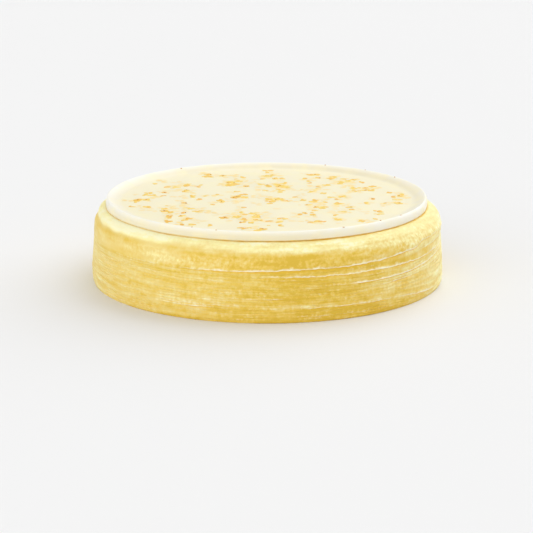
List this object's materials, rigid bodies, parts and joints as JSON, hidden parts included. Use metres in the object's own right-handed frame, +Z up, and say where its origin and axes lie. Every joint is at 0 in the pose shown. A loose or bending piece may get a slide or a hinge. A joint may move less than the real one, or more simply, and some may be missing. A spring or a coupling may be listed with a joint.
{
  "type": "osmanthus mille crepe cake",
  "caption": "Whole round layer cake of stacked crepes whose rims hang over one another down the side, topped by a milky gelee disc with a raised rim and small flowers set in it.",
  "frame": {"origin": "centre of the flat base that the cake rests on", "axes": "+Z up through the crepes towards the gelee disc; -Y is the side that the picture shows"},
  "size_m": [0.2298, 0.2297, 0.0546],
  "materials": {
    "crepe": null,
    "gelee": null
  },
  "bodies": {
    "root": {"crepe_01": "crepe", "crepe_02": "crepe", "crepe_03": "crepe", "crepe_04": "crepe", "crepe_05": "crepe", "crepe_06": "crepe", "crepe_07": "crepe", "crepe_08": "crepe", "crepe_09": "crepe", "crepe_10": "crepe", "crepe_11": "crepe", "crepe_12": "crepe", "crepe_13": "crepe", "crepe_14": "crepe", "crepe_15": "crepe", "crepe_16": "crepe", "crepe_17": "crepe", "crepe_18": "crepe", "crepe_19": "crepe", "crepe_20": "crepe", "osmanthus_gelee": "gelee"}
  },
  "joints": []
}
